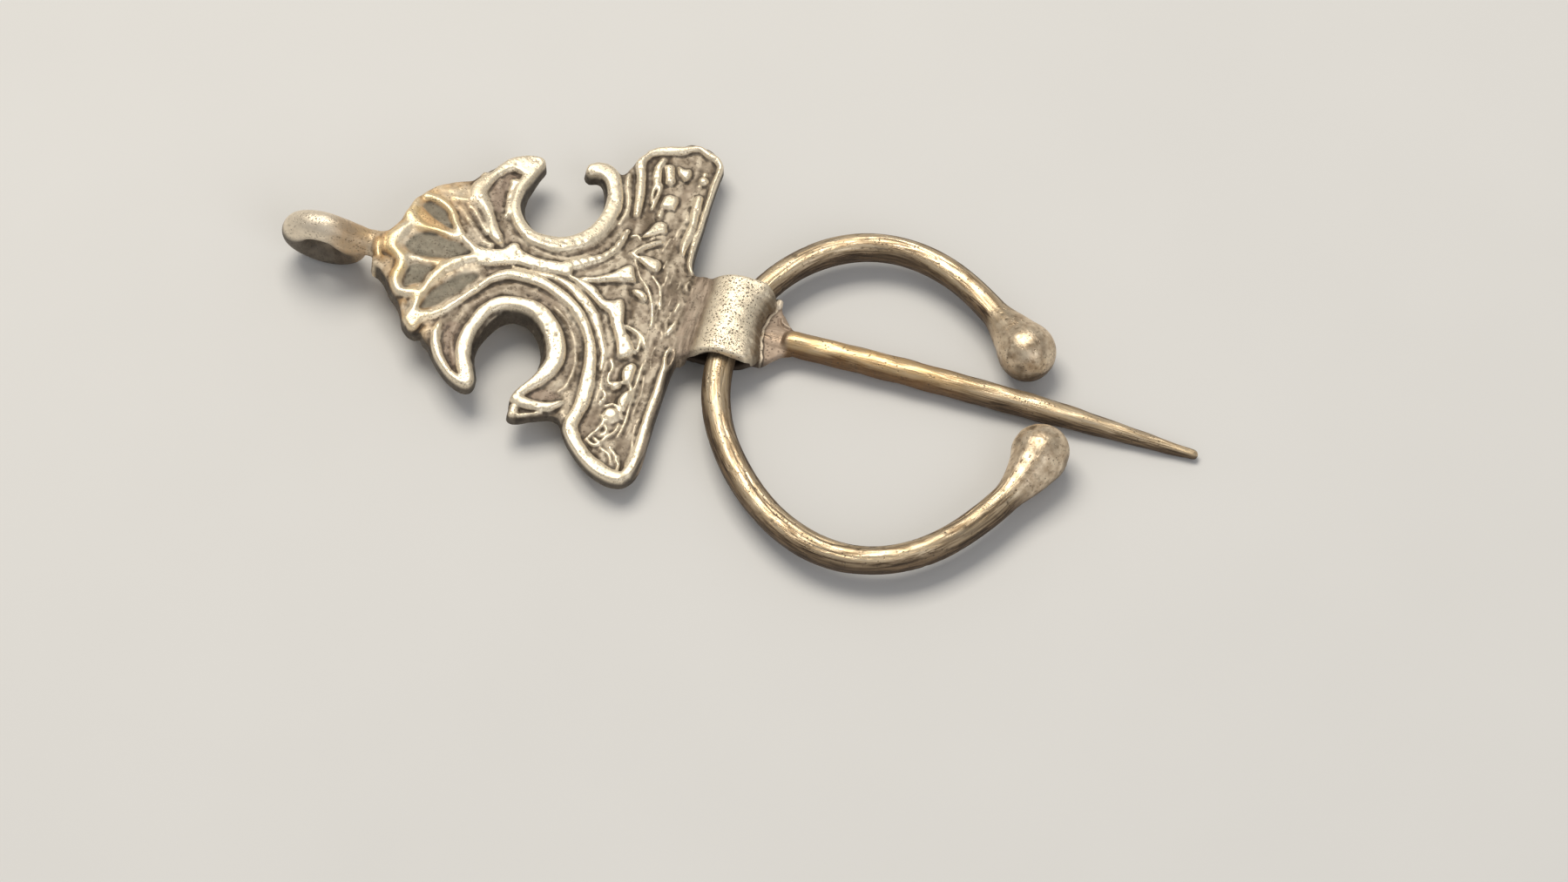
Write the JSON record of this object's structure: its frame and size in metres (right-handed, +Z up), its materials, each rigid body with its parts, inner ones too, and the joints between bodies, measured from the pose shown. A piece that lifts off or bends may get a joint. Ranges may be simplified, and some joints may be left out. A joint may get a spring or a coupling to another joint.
{
  "type": "penannular fibula brooch",
  "caption": "Cast silver dress pin: an openwork leaf plate with a suspension loop, a straight pin, and an open hoop with ball ends that swings in the plate's strap.",
  "frame": {"origin": "under the middle of the brooch, on the surface it lies on", "axes": "+X from the suspension loop to the pin's point, +Y across the plate, +Z up out of the patterned face"},
  "size_m": [0.0608, 0.0292, 0.0055],
  "materials": {
    "plate_silver": "cast low-grade silver, worn bright and warm on the ridges, grey-brown tarnish in the recesses",
    "wire_silver": "drawn and hammered silver wire, golden-brown tarnish with dark lengthwise streaks"
  },
  "bodies": {
    "head": {"head_plate": "plate_silver", "pin": "wire_silver"},
    "ring": {"hoop": "wire_silver"}
  },
  "joints": [
    {"name": "hoop_swing", "type": "hinge", "parent": "head", "child": "ring", "pos_m": [-0.00016, 0.00126, 0.00188], "axis": [-0.1867, -0.9824, 0], "range_deg": [0, 130]}
  ]
}
